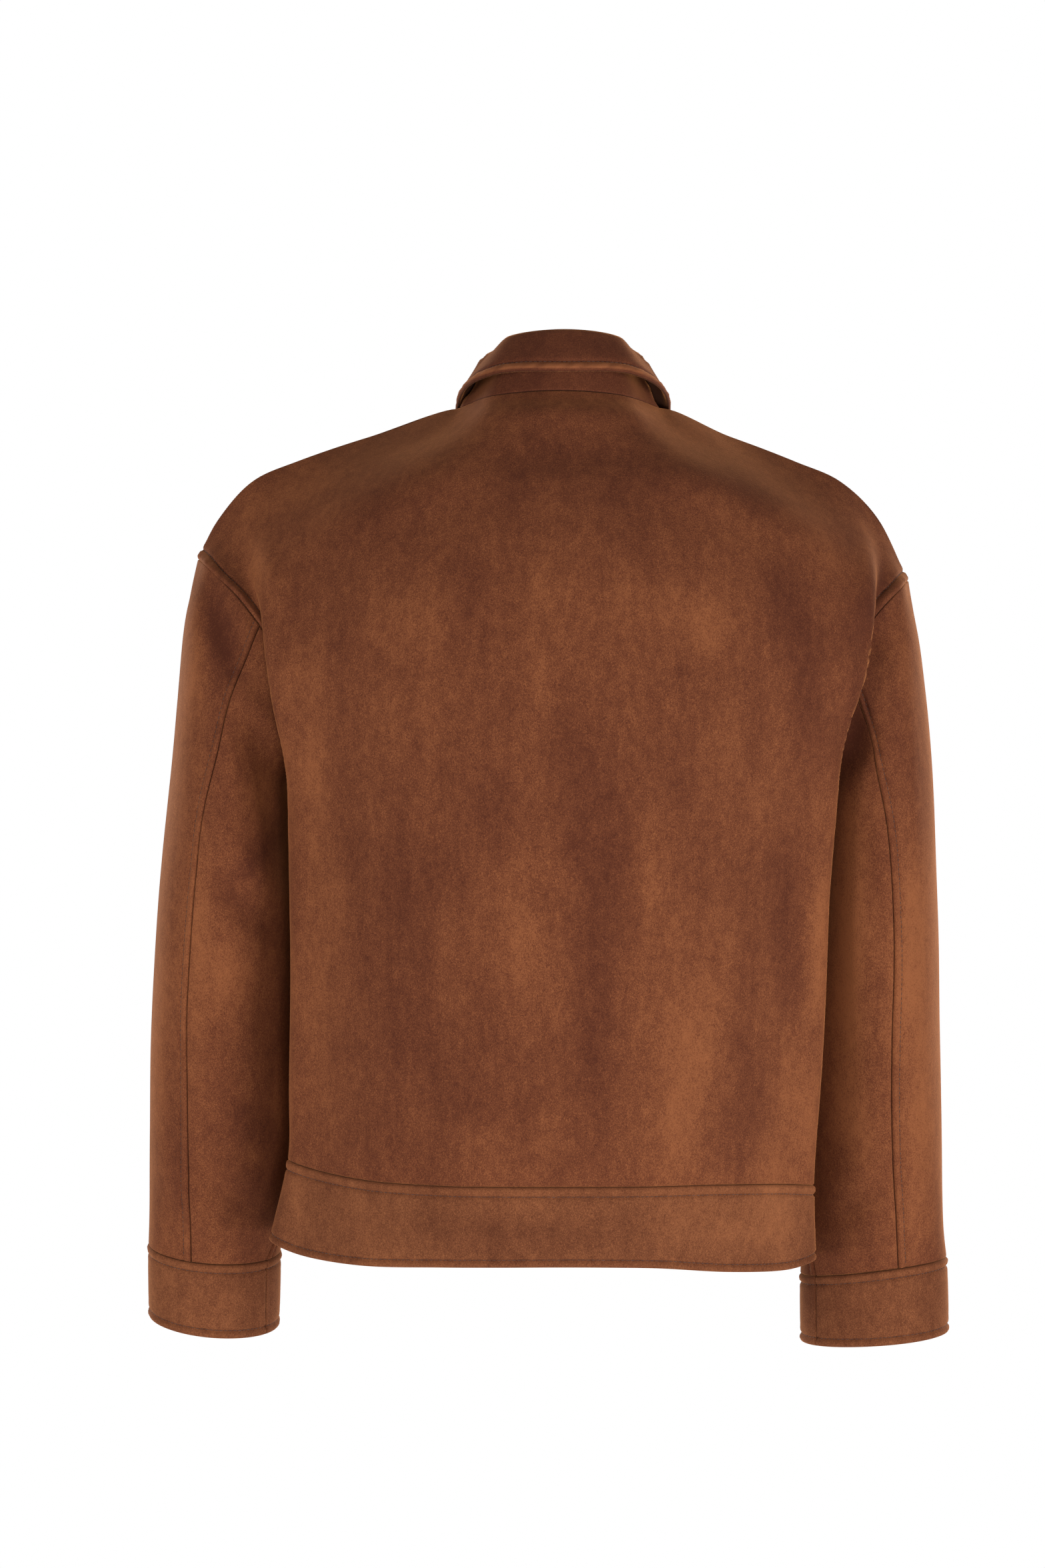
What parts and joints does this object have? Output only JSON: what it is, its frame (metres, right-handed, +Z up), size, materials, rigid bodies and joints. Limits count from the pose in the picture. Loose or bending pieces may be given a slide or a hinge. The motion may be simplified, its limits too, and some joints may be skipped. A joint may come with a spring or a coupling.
{
  "type": "suede jacket",
  "caption": "Short boxy suede jacket, filled out and hollow, with turned-down collar, dropped shoulders, cuffs and waistband.",
  "frame": {"origin": "midway between the two points where the shoulder seams meet the collar, where the wearer's shoulders carry the jacket", "axes": "+Z up, +Y towards the jacket's front, +X towards the wearer's right; the picture looks along +Y at the back"},
  "size_m": [0.5963, 0.2886, 0.7455],
  "materials": {
    "suede": "brushed suede nap",
    "suede_band": "brushed suede nap, doubled",
    "suede_collar": "brushed suede nap, doubled",
    "button": "polished dark brown resin"
  },
  "bodies": {
    "root": {"back": "suede", "front_left": "suede", "front_right": "suede", "sleeve_left_upper": "suede", "sleeve_left_under": "suede", "sleeve_right_upper": "suede", "sleeve_right_under": "suede", "cuff_left": "suede_band", "cuff_right": "suede_band", "waistband_back": "suede_band", "waistband_front_left": "suede_band", "waistband_front_right": "suede_band", "collar_stand": "suede_collar", "collar_fall": "suede_collar", "button_1": "button", "button_2": "button", "button_3": "button", "button_4": "button", "button_5": "button", "button_6": "button", "button_7": "button"}
  },
  "joints": []
}
